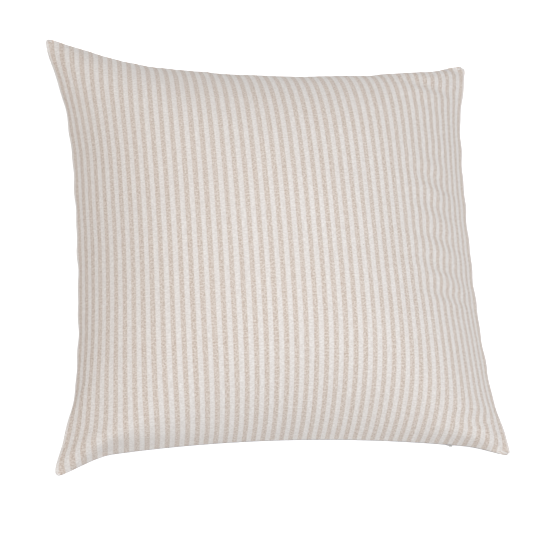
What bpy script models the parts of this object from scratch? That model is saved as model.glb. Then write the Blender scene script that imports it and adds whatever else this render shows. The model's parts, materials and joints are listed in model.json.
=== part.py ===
"""Square knife-edge throw pillow: a zipped cotton cover over a fibre-filled insert.

Metres, +Z up. The pillow lies on its plain back with the striped face up, the origin on the floor
under its middle. X runs across the stripes and Y along them. The zipper is in the seam on the -Y
side. Heights inside a piece are measured from the seam plane, where front and back meet.
"""
import math

import bmesh
import bpy
from mathutils import Vector

# Driving dimensions: the stuffed cover
PILLOW_SIZE = 0.455        # from ear tip to ear tip along a side
FRONT_CROWN = 0.088        # the face's height above the seam plane
BACK_CROWN = 0.075         # the back's depth below it, if it hung free
BACK_REST = 0.066          # depth of the flat that the back makes where it rests
CROWN_POWER = 0.56         # below 1 the panel leaves its seam steeply
EAR_BLUNT = 0.0030         # how far the sewn corner is short of a sharp tip
EAR_DROP = 0.0045          # extra reach of an ear past the side's even curve
SIDE_SAG = 0.0100          # how far a side pulls in between the two ends of the zipper

# Fabric and thread
FABRIC = 0.0007
INSERT_FABRIC = 0.0005
THREAD_RADIUS = 0.00015
TOUCH_GAP = 0.0003         # between pieces that touch
SEAM_ALLOWANCE = 0.012
INSERT_ALLOWANCE = 0.008
SEAM_DEPTH = 0.0012        # the seam's stitches, in from the fold
FOLD_RUN = 0.0023          # the stretch over which a folded edge reaches its level
LAYER_GAP = 0.0009         # between one domed layer and the next

# Zipper
ZIP_END_MARGIN = 0.050     # from the end of the zipper to the ear's tip
ZIP_ALLOWANCE = 0.016
ZIP_LIP_GAP = 0.0010       # each folded lip's distance from the seam plane
ZIP_PAST = 0.020           # how far the lips stay apart past the zipper's end
ZIP_BLEND = 0.020          # the stretch after that, over which they close
COIL_RADIUS = 0.00075
COIL_INSET = 0.0046        # the coils' centre, in from the lips
COIL_LEVEL = 0.00095
TAPE = 0.0004
TAPE_EDGE = 0.017          # the tape's inner edge, in from the lips
TAPE_BEND = 0.0080         # where the tape leaves the coil's level
TAPE_BEND_RUN = 0.0020
TAPE_THREAD_INSET = 0.013
SLIDER_LENGTH = 0.009
SLIDER_WALL = 0.00055
SLIDER_REACH = 0.0068      # the wings' inner edge, in from the lips
RUN_CLEAR = 0.00035        # round the coils and the wings
TOP_STOP_LENGTH = 0.003
BOTTOM_STOP_LENGTH = 0.004
BAR_TACK_LENGTH = 0.0024
NECK_HALF = 0.0004
NECK_WIDTH = 0.0040
NECK_WALL = 0.0007
PIVOT_OUTSET = 0.0015      # the puller's pivot, outside the lips
PIVOT_RADIUS = 0.0004
PULLER_BORE = 0.00055
PULLER_EYE = 0.0011        # outer radius of the eye
PULLER_LENGTH = 0.016
PULLER_WIDTH = 0.0044
PULLER_THICKNESS = 0.0008
PULLER_LEAN = math.radians(20)   # the stored puller leans in under the back panel

# Labels
LABEL = 0.00025
CARE_LABEL_WIDTH = 0.025
CARE_LABEL_AT = -0.100     # along the left side
INSERT_LABEL_WIDTH = 0.030
INSERT_LABEL_AT = 0.060    # along the top side

# Mesh density
COVER_CELLS = 20
INSERT_CELLS = 14
EDGE_CROWDING = 0.10       # above 0 the cells are smaller near the seams

# Worked out from the above
TIP = PILLOW_SIZE / 2
ZIP_HALF = TIP - ZIP_END_MARGIN
SIDE_RADIUS = (ZIP_HALF ** 2 + SIDE_SAG ** 2) / (2 * SIDE_SAG)
EAR_START = ZIP_HALF + 0.012
SIDE_MIDDLE = TIP - (SIDE_RADIUS - math.sqrt(SIDE_RADIUS ** 2 - TIP ** 2)) - EAR_DROP
ARC_CENTRE_Y = -(SIDE_MIDDLE + SIDE_RADIUS)
SEAM_GAP = THREAD_RADIUS + TOUCH_GAP
SLIDER_SPINE = COIL_INSET - COIL_RADIUS - RUN_CLEAR
WING_LEVEL = COIL_LEVEL + COIL_RADIUS + RUN_CLEAR
SLIDER_HALF = WING_LEVEL + SLIDER_WALL
ZIP_LEVEL = SLIDER_HALF + RUN_CLEAR
TAPE_LEVEL = ZIP_LEVEL - 2 * TOUCH_GAP - 2 * THREAD_RADIUS - TAPE
TAPE_START = COIL_INSET + COIL_RADIUS + TOUCH_GAP
TAPE_LOW = COIL_LEVEL - 2 * TAPE + 0.0002
STOP_EDGE = TAPE_START - RUN_CLEAR
STOP_START = SLIDER_SPINE - SLIDER_WALL
STOP_HALF = SLIDER_HALF - 0.00015
INSERT_INSET = TAPE_EDGE + 0.0015
FILL_INSET = INSERT_INSET + INSERT_ALLOWANCE + 0.0015
SLIDER_REST = ZIP_HALF - TOP_STOP_LENGTH - TOUCH_GAP - SLIDER_LENGTH / 2


def clear_scene():
    for item in list(bpy.data.objects):
        bpy.data.objects.remove(item, do_unlink=True)


def material(name, colour, roughness, metallic=0.0):
    made = bpy.data.materials.new(name)
    made.use_nodes = True
    shader = made.node_tree.nodes["Principled BSDF"]
    shader.inputs["Base Color"].default_value = (*colour, 1.0)
    shader.inputs["Roughness"].default_value = roughness
    shader.inputs["Metallic"].default_value = metallic
    return made


def place(data, name, finish, parent):
    data.materials.append(finish)
    piece = bpy.data.objects.new(name, data)
    bpy.context.scene.collection.objects.link(piece)
    piece.parent = parent
    return piece


def empty(name, location, parent=None):
    marker = bpy.data.objects.new(name, None)
    bpy.context.scene.collection.objects.link(marker)
    marker.location = location
    marker.parent = parent
    return marker


def mesh_from(bm, name):
    bmesh.ops.recalc_face_normals(bm, faces=bm.faces)
    data = bpy.data.meshes.new(name)
    bm.to_mesh(data)
    bm.free()
    return data


# The pillow's outline and its domed layers

def side_reach(along):
    """Distance from the middle to a side's seam, at a distance along that side."""
    arc = SIDE_RADIUS - math.sqrt(SIDE_RADIUS ** 2 - along ** 2)
    past = max(0.0, abs(along) - EAR_START) / (TIP - EAR_START)
    return SIDE_MIDDLE + arc + EAR_DROP * past ** 2


def tip_reach(inset):
    """Where two neighbouring sides meet, when each is moved in by inset."""
    low = 0.0
    high = TIP
    for _ in range(40):
        middle = (low + high) / 2
        if side_reach(middle) - inset > middle:
            low = middle
        else:
            high = middle
    return low


def plan(u, v, inset=0.0):
    """Point of the plan for u and v from -1 to 1; the sides are at 1 and -1."""
    tip = tip_reach(inset)
    blunt = EAR_BLUNT * (abs(u) * abs(v)) ** 30
    x = u * (side_reach(v * tip) - inset - blunt)
    y = v * (side_reach(u * tip) - inset - blunt)
    return x, y


def zip_share(u, v):
    """1 along the zipper, 0 away from it, for a point on the seam."""
    if v > -1.0:
        return 0.0
    past = (abs(u) * TIP - ZIP_HALF - ZIP_PAST) / ZIP_BLEND
    past = min(1.0, max(0.0, past))
    return 1.0 - past * past * (3 - 2 * past)


def blend(low, high, share):
    return low + (high - low) * share


class Layer:
    """One domed fabric panel: its outline, its dome and its folded allowance."""

    def __init__(self, inset, crown, rest, fabric, allowance, cells, zipped):
        self.inset = inset
        self.crown = crown
        self.rest = rest
        self.fabric = fabric
        self.allowance = allowance
        self.cells = cells
        self.zipped = zipped

    def share(self, u, v):
        return zip_share(u, v) if self.zipped else 0.0

    def lip(self, u, v):
        return blend(SEAM_GAP, ZIP_LIP_GAP, self.share(u, v))

    def level(self, u, v):
        return blend(SEAM_GAP, ZIP_LEVEL, self.share(u, v))

    def width(self, u, v):
        return blend(self.allowance, ZIP_ALLOWANCE, self.share(u, v))

    def point(self, u, v):
        x, y = plan(u, v, self.inset)
        edge = SEAM_GAP + self.fabric
        if max(abs(u), abs(v)) == 1.0:
            edge = self.lip(u, v) + self.fabric
        dome = max(0.0, (1 - u * u) * (1 - v * v)) ** CROWN_POWER
        return Vector((x, y, min(edge + (self.crown - edge) * dome, self.rest)))

    def inner_point(self, u, v):
        step = 0.002
        across = self.point(u + step, v) - self.point(u - step, v)
        along = self.point(u, v + step) - self.point(u, v - step)
        return self.point(u, v) - across.cross(along).normalized() * self.fabric

    def fold_point(self, u, v, first):
        """Where the panel's inner face meets its allowance, behind the fold."""
        edge = self.point(u, v)
        run = math.hypot(first.x - edge.x, first.y - edge.y)
        slope = (first.z - edge.z) / run
        top = self.level(u, v) + self.fabric
        wall = self.fabric * math.sqrt(1 + slope * slope)
        depth = max((top - edge.z + wall) / slope, FOLD_RUN + self.fabric)
        return Vector((*plan(u, v, self.inset + depth), top))


def fractions(cells):
    """Evenly numbered places from -1 to 1, crowded towards the ends."""
    steps = [2 * number / cells - 1 for number in range(cells + 1)]
    return [step + EDGE_CROWDING * math.sin(math.pi * step) for step in steps]


def border(cells):
    """Grid places round the edge, in order."""
    last = cells
    places = [(number, 0) for number in range(last)]
    places += [(last, number) for number in range(last)]
    places += [(last - number, last) for number in range(last)]
    places += [(0, last - number) for number in range(last)]
    return places


def cell_faces(bm, grid, cells):
    """Two triangles a cell, split along the line that points at the nearest ear."""
    for row in range(cells):
        for column in range(cells):
            corners = [grid[column, row], grid[column + 1, row],
                       grid[column + 1, row + 1], grid[column, row + 1]]
            if (column < cells / 2) != (row < cells / 2):
                corners = corners[1:] + corners[:1]
            bm.faces.new((corners[0], corners[1], corners[2]))
            bm.faces.new((corners[0], corners[2], corners[3]))


def ring_faces(bm, first, second):
    count = len(first)
    for number in range(count):
        following = (number + 1) % count
        bm.faces.new((first[number], first[following], second[following], second[number]))


def panel(name, layer, side):
    """Closed sheet: the dome, the fold at the seam and the allowance turned in behind it."""
    cells = layer.cells
    steps = fractions(cells)
    bm = bmesh.new()
    outer = {}
    inner = {}
    for row in range(cells + 1):
        for column in range(cells + 1):
            u = steps[column]
            v = steps[row]
            outer[column, row] = bm.verts.new(layer.point(u, v))
            if 0 < column < cells and 0 < row < cells:
                inner[column, row] = bm.verts.new(layer.inner_point(u, v))
    rings = [[], [], [], []]
    for column, row in border(cells):
        u = steps[column]
        v = steps[row]
        near = (min(max(column, 1), cells - 1), min(max(row, 1), cells - 1))
        low = layer.level(u, v)
        end = layer.inset + layer.width(u, v)
        rings[0].append(bm.verts.new((*plan(u, v, layer.inset), layer.lip(u, v))))
        rings[1].append(bm.verts.new((*plan(u, v, layer.inset + FOLD_RUN), low)))
        rings[2].append(bm.verts.new((*plan(u, v, end), low)))
        rings[3].append(bm.verts.new((*plan(u, v, end), low + layer.fabric)))
        inner[column, row] = bm.verts.new(layer.fold_point(u, v, outer[near].co))
    cell_faces(bm, outer, cells)
    cell_faces(bm, inner, cells)
    outer_ring = [outer[spot] for spot in border(cells)]
    inner_ring = [inner[spot] for spot in border(cells)]
    chain = [outer_ring, *rings, inner_ring]
    for first, second in zip(chain, chain[1:]):
        ring_faces(bm, first, second)
    for vertex in bm.verts:
        vertex.co.z *= side
    return mesh_from(bm, name)


def cushion(name, front, back):
    """Closed solid between two domes that share one edge."""
    cells = front.cells
    steps = fractions(cells)
    bm = bmesh.new()
    top = {}
    bottom = {}
    for row in range(cells + 1):
        for column in range(cells + 1):
            high = front.point(steps[column], steps[row])
            low = back.point(steps[column], steps[row])
            top[column, row] = bm.verts.new(high)
            bottom[column, row] = bm.verts.new((low.x, low.y, -low.z))
    cell_faces(bm, top, cells)
    cell_faces(bm, bottom, cells)
    ring_faces(bm, [top[spot] for spot in border(cells)], [bottom[spot] for spot in border(cells)])
    return mesh_from(bm, name)


# Threads, ribbons and the zipper's swept pieces

def thread(name, points):
    curve = bpy.data.curves.new(name, "CURVE")
    curve.dimensions = "3D"
    curve.bevel_depth = THREAD_RADIUS
    curve.bevel_resolution = 0
    curve.use_fill_caps = True
    spline = curve.splines.new("POLY")
    spline.points.add(len(points) - 1)
    for knot, point in zip(spline.points, points):
        knot.co = (*point, 1.0)
    return curve


def seam_path(inset, start, end, cells):
    """Points on the seam plane round the outline; 0 to 4 counts the sides from the bottom left ear."""
    points = []
    places = border(cells)
    steps = fractions(cells)
    count = len(places)
    first = math.ceil(start * cells)
    last = math.floor(end * cells)
    for number in range(first, last + 1):
        column, row = places[number % count]
        points.append((*plan(steps[column], steps[row], inset + SEAM_DEPTH), 0.0))
    return points


def along_zip(travel, inset, level):
    """Point at an arc distance along the zipper, an inset from its lips and a height."""
    angle = travel / SIDE_RADIUS
    radius = SIDE_RADIUS + inset
    return Vector((radius * math.sin(angle), ARC_CENTRE_Y + radius * math.cos(angle), level))


def sweep(name, profile, stations, where):
    """Closed bar: a profile of (inset, level) points carried along the stations."""
    bm = bmesh.new()
    loops = []
    for station in stations:
        loops.append([bm.verts.new(where(station, inset, level)) for inset, level in profile])
    for first, second in zip(loops, loops[1:]):
        ring_faces(bm, first, second)
    bm.faces.new(loops[0])
    bm.faces.new(list(reversed(loops[-1])))
    return mesh_from(bm, name)


def spaced(start, end, count):
    return [start + (end - start) * number / count for number in range(count + 1)]


def box_profile(inset_low, inset_high, level_low, level_high):
    return [(inset_low, level_low), (inset_high, level_low),
            (inset_high, level_high), (inset_low, level_high)]


def round_profile(inset, level, radius, sides):
    angles = [2 * math.pi * (number + 0.5) / sides for number in range(sides)]
    return [(inset + radius * math.cos(angle), level + radius * math.sin(angle)) for angle in angles]


def ribbon_profile(line, thickness):
    """Outline of a bent strip of even thickness round a centre line."""
    left = []
    right = []
    for number, (inset, level) in enumerate(line):
        before = line[max(number - 1, 0)]
        after = line[min(number + 1, len(line) - 1)]
        run = (after[0] - before[0], after[1] - before[1])
        scale = thickness / 2 / math.hypot(*run)
        left.append((inset - run[1] * scale, level + run[0] * scale))
        right.append((inset + run[1] * scale, level - run[0] * scale))
    return left + right[::-1]


def tape_profile(side):
    low = TAPE_LOW
    high = TAPE_LEVEL
    profile = [(TAPE_START, low), (TAPE_BEND, low), (TAPE_BEND + TAPE_BEND_RUN, high),
               (TAPE_EDGE, high), (TAPE_EDGE, high + TAPE), (TAPE_BEND + TAPE_BEND_RUN, high + TAPE),
               (TAPE_BEND, low + TAPE), (TAPE_START, low + TAPE)]
    return [(inset, level * side) for inset, level in profile]


def join(target, other, operation):
    """Apply a Boolean of another piece to the target and remove the other."""
    change = target.modifiers.new("join", "BOOLEAN")
    change.operation = operation
    change.object = other
    bpy.context.view_layer.update()
    evaluated = target.evaluated_get(bpy.context.evaluated_depsgraph_get())
    target.data = bpy.data.meshes.new_from_object(evaluated)
    target.modifiers.clear()
    bpy.data.objects.remove(other, do_unlink=True)


def in_slider(station, inset, level):
    """Point in the slider's own frame, whose origin is on its joint's axis."""
    return Vector((station, SIDE_RADIUS + inset, level))


def slider(finish, parent):
    """Channel round both coils, with a neck out between the lips to the puller's pivot."""
    half = SLIDER_LENGTH / 2
    spine_out = SLIDER_SPINE - SLIDER_WALL
    channel = [(spine_out, -SLIDER_HALF), (SLIDER_REACH, -SLIDER_HALF), (SLIDER_REACH, -WING_LEVEL),
               (SLIDER_SPINE, -WING_LEVEL), (SLIDER_SPINE, WING_LEVEL), (SLIDER_REACH, WING_LEVEL),
               (SLIDER_REACH, SLIDER_HALF), (spine_out, SLIDER_HALF)]
    body = place(sweep("slider", channel, [-half, half], in_slider), "zipper_slider", finish, parent)
    inner = spine_out + SLIDER_WALL / 2
    outer = -PIVOT_OUTSET
    window = PIVOT_OUTSET - PULLER_EYE - TOUCH_GAP
    wide = NECK_WIDTH / 2
    blocks = [(box_profile(-window, inner, -NECK_HALF, NECK_HALF), (-wide, wide)),
              (box_profile(outer, -window / 2, -NECK_HALF, NECK_HALF), (-wide, NECK_WALL - wide)),
              (box_profile(outer, -window / 2, -NECK_HALF, NECK_HALF), (wide - NECK_WALL, wide)),
              (round_profile(outer, 0.0, PIVOT_RADIUS, 12), (-wide, wide))]
    for profile, ends in blocks:
        block = place(sweep("block", profile, ends, in_slider), "block", finish, parent)
        join(body, block, "UNION")
    return body


def puller(finish, parent):
    """Flat teardrop on an eye round the pivot; it hangs along -Z before it is leaned in."""
    half_eye = NECK_WIDTH / 2 - NECK_WALL - TOUCH_GAP
    bm = bmesh.new()
    section = [(-half_eye, PULLER_BORE), (half_eye, PULLER_BORE), (half_eye, PULLER_EYE), (-half_eye, PULLER_EYE)]
    turns = 24
    loops = []
    for number in range(turns):
        angle = 2 * math.pi * number / turns
        loops.append([bm.verts.new((x, radius * math.sin(angle), radius * math.cos(angle)))
                      for x, radius in section])
    for number in range(turns):
        ring_faces(bm, loops[number], loops[(number + 1) % turns])
    eye = place(mesh_from(bm, "puller"), "zipper_pull_tab", finish, parent)
    plate = place(teardrop(half_eye), "plate", finish, parent)
    join(eye, plate, "UNION")
    for vertex in eye.data.vertices:
        y = vertex.co.y
        z = vertex.co.z
        vertex.co.y = y * math.cos(PULLER_LEAN) - z * math.sin(PULLER_LEAN)
        vertex.co.z = y * math.sin(PULLER_LEAN) + z * math.cos(PULLER_LEAN)
    return eye


def teardrop(half_neck):
    """Plate whose sides widen from the eye's width to a round end."""
    half = PULLER_WIDTH / 2
    turn = -PULLER_LENGTH + half
    start = -(PULLER_BORE + PULLER_EYE) / 2
    outline = [(-half_neck, start), (-half_neck, -2 * PULLER_EYE - TOUCH_GAP)]
    outline += [(-half * math.cos(angle), turn - half * math.sin(angle))
                for angle in spaced(0.0, math.pi, 10)]
    outline += [(half_neck, -2 * PULLER_EYE - TOUCH_GAP), (half_neck, start)]
    bm = bmesh.new()
    face = bm.faces.new([bm.verts.new((x, -PULLER_THICKNESS / 2, z)) for x, z in outline])
    grown = bmesh.ops.extrude_face_region(bm, geom=[face])
    for item in grown["geom"]:
        if isinstance(item, bmesh.types.BMVert):
            item.co.y += PULLER_THICKNESS
    return mesh_from(bm, "plate")


def left_side(along, inset, level):
    return Vector((inset - side_reach(along), along, level))


def top_side(along, inset, level):
    return Vector((along, side_reach(along) - inset, level))


def centred(middle, width, count):
    return spaced(middle - width / 2, middle + width / 2, count)


def make_cover(finishes, seam):
    front = Layer(0.0, FRONT_CROWN, FRONT_CROWN, FABRIC, SEAM_ALLOWANCE, COVER_CELLS, True)
    back = Layer(0.0, BACK_CROWN, BACK_REST, FABRIC, SEAM_ALLOWANCE, COVER_CELLS, True)
    place(panel("front", front, 1), "front_panel", finishes["striped_cotton"], seam)
    place(panel("back", back, -1), "back_panel", finishes["plain_cotton"], seam)
    stub = 0.05
    path = seam_path(0.0, 1 - stub, 4 + stub, COVER_CELLS)
    place(thread("seam", path), "cover_seam_thread", finishes["thread"], seam)
    line = [(0.002, 0.0), (0.013, 0.0), (0.017, 0.003), (0.021, 0.010), (0.026, 0.019)]
    stations = centred(CARE_LABEL_AT, CARE_LABEL_WIDTH, 4)
    label = sweep("care label", ribbon_profile(line, LABEL), stations, left_side)
    place(label, "care_label", finishes["label_satin"], seam)


def make_insert(finishes, seam):
    skin = FABRIC + LAYER_GAP
    front = Layer(INSERT_INSET, FRONT_CROWN - skin, FRONT_CROWN, INSERT_FABRIC,
                  INSERT_ALLOWANCE, INSERT_CELLS, False)
    back = Layer(INSERT_INSET, BACK_CROWN - skin, BACK_REST - skin, INSERT_FABRIC,
                 INSERT_ALLOWANCE, INSERT_CELLS, False)
    place(panel("insert front", front, 1), "insert_shell_front", finishes["insert_cloth"], seam)
    place(panel("insert back", back, -1), "insert_shell_back", finishes["insert_cloth"], seam)
    closing_start = 0.3
    closing_end = 0.7
    sewn = seam_path(INSERT_INSET, closing_end + 0.1, 4 + closing_start - 0.1, INSERT_CELLS)
    closed = seam_path(INSERT_INSET, closing_start, closing_end, INSERT_CELLS)
    place(thread("insert seam", sewn), "insert_seam_thread", finishes["thread"], seam)
    place(thread("insert closing", closed), "insert_closing_thread", finishes["thread"], seam)
    core = skin + INSERT_FABRIC + LAYER_GAP
    top = Layer(FILL_INSET, FRONT_CROWN - core, FRONT_CROWN, 0.0, 0.0, INSERT_CELLS, False)
    bottom = Layer(FILL_INSET, BACK_CROWN - core, BACK_REST - core, 0.0, 0.0, INSERT_CELLS, False)
    place(cushion("fill", top, bottom), "fibre_fill", finishes["fibre"], seam)
    inset = INSERT_INSET
    stitches = inset + SEAM_DEPTH - THREAD_RADIUS - TOUCH_GAP
    line = [(stitches, 0.0), (inset - 0.001, 0.0), (inset - 0.0025, 0.002),
            (inset - 0.001, 0.008), (inset + 0.005, 0.018)]
    stations = centred(INSERT_LABEL_AT, INSERT_LABEL_WIDTH, 4)
    label = sweep("insert label", ribbon_profile(line, LABEL), stations, top_side)
    place(label, "insert_label", finishes["label_satin"], seam)


def make_zipper(finishes, seam):
    pieces = 30
    coil_start = -ZIP_HALF + BOTTOM_STOP_LENGTH + TOUCH_GAP
    coil_end = ZIP_HALF - TOP_STOP_LENGTH - TOUCH_GAP
    tape_end = ZIP_HALF + BAR_TACK_LENGTH
    thread_level = TAPE_LEVEL + TAPE + TOUCH_GAP + THREAD_RADIUS
    for side, word in ((1, "front"), (-1, "back")):
        tape = sweep("tape", tape_profile(side), spaced(-tape_end, tape_end, pieces), along_zip)
        place(tape, "zipper_tape_" + word, finishes["zipper_tape"], seam)
        profile = round_profile(COIL_INSET, COIL_LEVEL * side, COIL_RADIUS, 6)
        coil = sweep("coil", profile, spaced(coil_start, coil_end, 2 * pieces), along_zip)
        place(coil, "zipper_coil_" + word, finishes["zipper_coil"], seam)
        path = [along_zip(travel, TAPE_THREAD_INSET, thread_level * side)
                for travel in spaced(-ZIP_HALF, ZIP_HALF, 2 * pieces)]
        place(thread("tape thread", path), "zipper_thread_" + word, finishes["thread"], seam)
        block = box_profile(STOP_START, STOP_EDGE, TOUCH_GAP * side, STOP_HALF * side)
        stop = sweep("stop", block, [ZIP_HALF - TOP_STOP_LENGTH, ZIP_HALF], along_zip)
        place(stop, "zipper_top_stop_" + word, finishes["zipper_metal"], seam)
    block = box_profile(STOP_START, STOP_EDGE, -STOP_HALF, STOP_HALF)
    stop = sweep("stop", block, [-ZIP_HALF, BOTTOM_STOP_LENGTH - ZIP_HALF], along_zip)
    place(stop, "zipper_bottom_stop", finishes["zipper_metal"], seam)
    tack_half = ZIP_LIP_GAP - TOUCH_GAP
    for end, word in ((-1, "left"), (1, "right")):
        stations = sorted([end * (ZIP_HALF + TOUCH_GAP), end * (ZIP_HALF + BAR_TACK_LENGTH)])
        tack = sweep("tack", box_profile(0.0004, 0.0030, -tack_half, tack_half), stations, along_zip)
        place(tack, "bar_tack_" + word, finishes["thread"], seam)


def make_slider(finishes, seam):
    turn = SLIDER_REST / SIDE_RADIUS
    pivot = empty("slider_axis", (0.0, ARC_CENTRE_Y, 0.0), seam)
    pivot.rotation_euler.z = -turn
    slider(finishes["zipper_metal"], pivot)
    hinge = empty("puller_axis", (0.0, SIDE_RADIUS - PIVOT_OUTSET, 0.0), pivot)
    puller(finishes["zipper_metal"], hinge)


def main():
    clear_scene()
    finishes = {
        "striped_cotton": material("striped_cotton", (0.70, 0.64, 0.60), 0.90),
        "plain_cotton": material("plain_cotton", (0.80, 0.78, 0.75), 0.90),
        "thread": material("thread", (0.83, 0.80, 0.76), 0.70),
        "label_satin": material("label_satin", (0.88, 0.88, 0.87), 0.45),
        "insert_cloth": material("insert_cloth", (0.90, 0.90, 0.89), 0.85),
        "fibre": material("fibre", (0.93, 0.93, 0.92), 0.95),
        "zipper_tape": material("zipper_tape", (0.84, 0.82, 0.78), 0.80),
        "zipper_coil": material("zipper_coil", (0.86, 0.84, 0.81), 0.40),
        "zipper_metal": material("zipper_metal", (0.82, 0.80, 0.77), 0.30),
    }
    seam = empty("seam_plane", (0.0, 0.0, BACK_REST))
    make_cover(finishes, seam)
    make_insert(finishes, seam)
    make_zipper(finishes, seam)
    make_slider(finishes, seam)


main()
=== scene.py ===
"""Looks of a square knife-edge throw pillow: striped cotton face, plain back, concealed zipper.

Metres. The pillow lies on its plain back on the floor, striped face up, its zipper in the -Y seam.
"""
import json
import math

import bpy
import numpy as np
from mathutils import Matrix, Vector
from mathutils.bvhtree import BVHTree


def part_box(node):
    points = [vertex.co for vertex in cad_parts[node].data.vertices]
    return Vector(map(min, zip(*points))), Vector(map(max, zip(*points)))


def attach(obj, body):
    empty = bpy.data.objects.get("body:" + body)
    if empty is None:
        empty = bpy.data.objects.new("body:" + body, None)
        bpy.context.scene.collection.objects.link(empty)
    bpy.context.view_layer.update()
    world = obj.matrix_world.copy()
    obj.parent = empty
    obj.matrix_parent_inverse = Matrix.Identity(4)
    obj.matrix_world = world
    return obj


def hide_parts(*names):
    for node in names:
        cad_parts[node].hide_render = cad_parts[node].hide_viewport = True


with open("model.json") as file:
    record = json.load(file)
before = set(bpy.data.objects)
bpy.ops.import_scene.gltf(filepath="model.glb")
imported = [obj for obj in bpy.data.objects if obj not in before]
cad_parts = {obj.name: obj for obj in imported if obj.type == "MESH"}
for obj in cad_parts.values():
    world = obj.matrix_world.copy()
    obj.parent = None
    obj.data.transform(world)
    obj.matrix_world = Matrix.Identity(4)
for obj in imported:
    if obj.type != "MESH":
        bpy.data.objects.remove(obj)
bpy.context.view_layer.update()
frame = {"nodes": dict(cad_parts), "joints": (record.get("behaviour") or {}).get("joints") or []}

# Places read from the frame
ZIP_RUN = next(joint for joint in frame["joints"] if joint["name"] == "zipper_run")
ZIP_CENTRE_Y = ZIP_RUN["pos_m"][1]
SEAM_Z = ZIP_RUN["pos_m"][2]
FRONT_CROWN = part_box("front_panel")[1].z - SEAM_Z
BACK_DROP = SEAM_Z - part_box("back_panel")[0].z

# The cut, and the even outline of the stuffed cover
CUT_HALF = 0.2375                           # half the flat front, seam to seam
BACK_CUT_HALF = 0.2335
ZIP_HALF = 0.1775
SIDE_SAG = 0.0100                           # how far a side pulls in, over the zipper's length
SIDE_RADIUS = (ZIP_HALF ** 2 + SIDE_SAG ** 2) / (2 * SIDE_SAG)
SIDE_MIDDLE = -ZIP_CENTRE_Y - SIDE_RADIUS
EAR_REACH = 0.2275
EAR_START = ZIP_HALF + 0.012
EAR_DROP = 0.0045
BACK_CROWN = 0.075
CROWN_POWER = 0.56

# How this cover's sides and ears differ from the even outline
SIDE_SHIFT = {"left": 0.006, "top": -0.002, "right": 0.007}
TOP_TILT = 0.010                            # the top side stands further out towards the left
EAR_SPREAD = 0.17                           # how far an ear's shift reaches, as a share of half a side
EAR_BLUNTING = 26                           # the higher, the closer the blunting keeps to the tip
EARS = {                                    # across, up: shift right, shift up, rise, blunting
    (-1, 1): (-0.0185, 0.016, 0.012, 0.0055),
    (1, 1): (0.009, 0.001, 0.000, 0.009),
    (1, -1): (0.010, -0.008, 0.004, 0.008),
    (-1, -1): (-0.019, -0.016, 0.000, 0.007),
}
EDGE_WAVE = 0.0004                          # unevenness of the sewn edge, in and out
LEVEL_WAVE = 0.0007                         # and up and down
HOLD_START = 0.80                           # the zipper side keeps its arc up to here
HOLD_END = 1.0
HOLD_DEPTH = 0.35
MARK_STEPS = np.linspace(-1, 1, 401)        # where the run along each side is measured

# Cloth
CLOTH = 0.0007
GRID = 80                                   # cells along a side
TOP_GATHER = 0.025                          # how much the top seam is eased in between its ears
ZIP_GATHER = 0.045
ZIP_SKEW = 0.02                             # and how far the zipper's seam is eased to the right
GATHER_POWER = 5                            # the eased length goes into the ears
SETTLE_ROUNDS = 900
SETTLE_PUSH = 6e-6                          # how far the filling pushes in one round
SETTLE_DRIFT = 0.95                         # the share of its movement that the cloth keeps
SQUEEZE_GIVE = 0.12                         # how weakly cloth resists being squeezed along itself
SHEAR_GIVE = 0.10
ROUNDNESS = 0.985                           # least distance across two cells, as a share of their length
EASE_START = 0.72                           # where the cloth starts to ease to the seam's spacing
OVERHANG = 0.0004                           # how far the cloth may hang out past the seam
FRONT_LEAN = 0.33                           # how far the cloth leans in for each metre off the seam
BACK_LEAN = 0.42
LEAN_RISE = 0.028                           # and the height at which it has leant in enough
SIM_FRAMES = 14
SIM_NEAR = 0.002                            # furthest that the simulation moves a point at the seam
SIM_REACH = 0.008                           # and how much further away from the seam
SIM_RAMP = 0.030
PRESSURE = 20.0
STRIPE_REPEAT = 2 * CUT_HALF / 47

# Sewn edge
EDGE_LINES = (0.0016, 0.0045, 0.0085)       # extra lines of the mesh beside the seam
SEAM_GAP = 0.0005                           # half the slit between the two layers at the seam
ZIP_GAP = 0.0010                            # half the slit between the zipper's lips
ZIP_LEVEL = 0.00295                         # height of the allowance beside the zipper
NOSE_OUT = 0.0002                           # how far the fold's nose stands out
NOSE_RUN = 0.006                            # the stretch over which the face rises from the nose
FOLD_RUN = 0.0023
ALLOWANCE = 0.012
ZIP_ALLOWANCE = 0.016


# Shape of the cover

def eased(share):
    """A soft step from 0 to 1."""
    share = np.clip(share, 0.0, 1.0)
    return share * share * (3 - 2 * share)


def side_reach(along):
    """How far a side stands from the middle, along its run."""
    arc = SIDE_RADIUS - np.sqrt(SIDE_RADIUS ** 2 - along ** 2)
    past = np.clip(np.abs(along) - EAR_START, 0.0, None) / (EAR_REACH - EAR_START)
    return SIDE_MIDDLE + arc + EAR_DROP * past ** 2


def zipper_hold(u, v):
    """1 where the zipper keeps the seam on its arc, 0 away from it."""
    beside = 1 - eased((np.abs(u) - HOLD_START) / (HOLD_END - HOLD_START))
    above = 1 - eased((v + 1) / HOLD_DEPTH)
    return beside * above


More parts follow.
